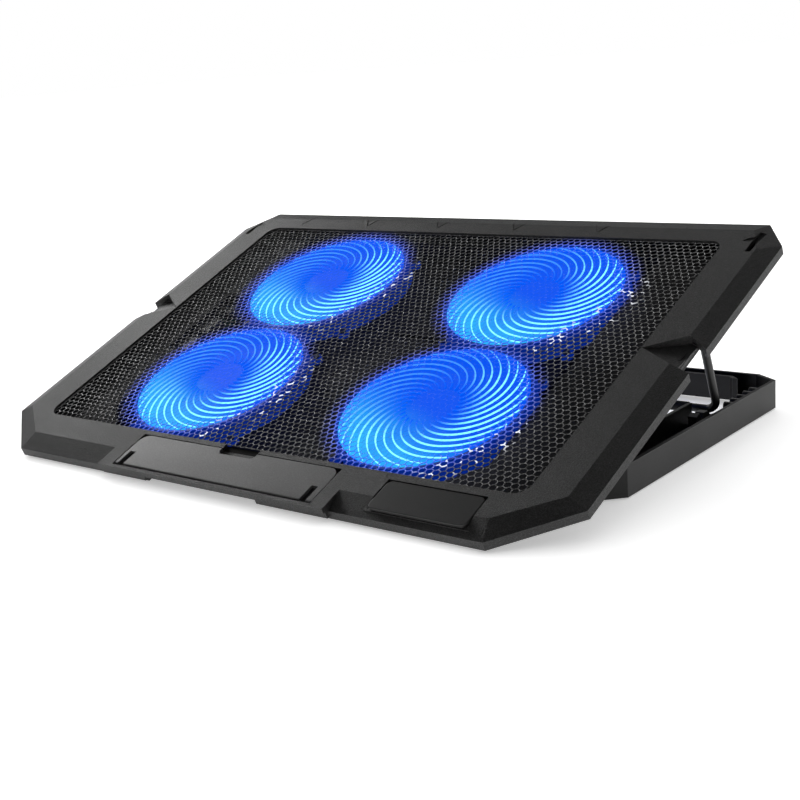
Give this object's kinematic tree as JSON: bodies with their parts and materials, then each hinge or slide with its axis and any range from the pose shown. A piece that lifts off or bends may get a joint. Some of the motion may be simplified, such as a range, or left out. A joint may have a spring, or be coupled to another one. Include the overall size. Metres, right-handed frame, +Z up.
{
  "type": "laptop cooling pad",
  "caption": "Laptop cooling pad with a bevelled plastic cover, honeycomb metal mesh over lit fans, a fold-up laptop stop, and a hinged open stand with a wire prop and racks.",
  "frame": {"origin": "on the desk, under the middle of the bounding box with the pad raised", "axes": "+Z up, +X to the user's right along the hinge, +Y to the rear"},
  "size_m": [0.39, 0.2718, 0.1044],
  "materials": {
    "shell_plastic": "fine spark-eroded texture",
    "mesh_metal": "black coated expanded mesh",
    "fan_frame_plastic": "moulded",
    "rotor_plastic": "translucent blue, lit from below",
    "motor_metal": "turned",
    "light_ring": "lit blue",
    "plate_plastic": "satin",
    "stop_plastic": "smooth satin",
    "fastener_steel": "blackened",
    "circuit_board": "solder mask",
    "socket_steel": "plated",
    "socket_plastic": "moulded",
    "switch_plastic": "satin",
    "foot_rubber": "matt",
    "bail_steel": "black paint",
    "stand_plastic": "fine texture"
  },
  "bodies": {
    "stand": {"stand_frame": "stand_plastic", "hinge_pins": "fastener_steel", "left_rack": "stand_plastic", "right_rack": "stand_plastic", "stand_feet": "foot_rubber"},
    "pad": {"bottom_cover": "shell_plastic", "case_screws": "fastener_steel", "control_board": "circuit_board", "fan_screws": "fastener_steel", "front_left_fan_frame": "fan_frame_plastic", "front_left_fan_motor": "motor_metal", "front_left_light_ring": "light_ring", "front_right_fan_frame": "fan_frame_plastic", "front_right_fan_motor": "motor_metal", "front_right_light_ring": "light_ring", "mesh_panel": "mesh_metal", "name_plate": "plate_plastic", "rear_left_fan_frame": "fan_frame_plastic", "rear_left_fan_motor": "motor_metal", "rear_left_light_ring": "light_ring", "rear_right_fan_frame": "fan_frame_plastic", "rear_right_fan_motor": "motor_metal", "rear_right_light_ring": "light_ring", "rest_bumpers": "foot_rubber", "stop_pins": "fastener_steel", "switch_body": "switch_plastic", "top_cover": "shell_plastic", "usb_sockets": "socket_steel", "usb_tongues": "socket_plastic"},
    "bail": {"prop_bail": "bail_steel", "bail_grips": "foot_rubber"},
    "stop": {"laptop_stop": "stop_plastic"},
    "button": {"switch_button": "switch_plastic"},
    "front_left_rotor": {"front_left_rotor": "rotor_plastic"},
    "front_right_rotor": {"front_right_rotor": "rotor_plastic"},
    "rear_left_rotor": {"rear_left_rotor": "rotor_plastic"},
    "rear_right_rotor": {"rear_right_rotor": "rotor_plastic"}
  },
  "joints": [
    {"name": "stand_tilt", "type": "hinge", "parent": "stand", "child": "pad", "pos_m": [0, -0.08011, 0.0072], "axis": [1, 0, 0], "range_deg": [-21.4, 0]},
    {"name": "bail_swing", "type": "hinge", "parent": "pad", "child": "bail", "pos_m": [0, 0.05351, 0.06472], "axis": [1, 0, 0], "range_deg": [0, 93.1]},
    {"name": "stop_fold", "type": "hinge", "parent": "pad", "child": "stop", "pos_m": [-0.0065, -0.13174, 0.00877], "axis": [1, 0, 0], "range_deg": [0, 95]},
    {"name": "switch_press", "type": "slide", "parent": "pad", "child": "button", "axis": [1, 0, 0], "range_m": [0, 0.0015], "stiffness_N_per_m": 300},
    {"name": "front_left_spin", "type": "hinge", "parent": "pad", "child": "front_left_rotor", "pos_m": [-0.076, -0.04949, 0.03295], "axis": [0, -0.3649, 0.9311], "continuous": true},
    {"name": "front_right_spin", "type": "hinge", "parent": "pad", "child": "front_right_rotor", "pos_m": [0.076, -0.04949, 0.03295], "axis": [0, -0.3649, 0.9311], "continuous": true},
    {"name": "rear_left_spin", "type": "hinge", "parent": "pad", "child": "rear_left_rotor", "pos_m": [-0.076, 0.04827, 0.07126], "axis": [0, -0.3649, 0.9311], "continuous": true},
    {"name": "rear_right_spin", "type": "hinge", "parent": "pad", "child": "rear_right_rotor", "pos_m": [0.076, 0.04827, 0.07126], "axis": [0, -0.3649, 0.9311], "continuous": true}
  ],
  "couplings": [
    {"joint": "bail_swing", "follows": "stand_tilt", "ratio": -4.3458}
  ]
}
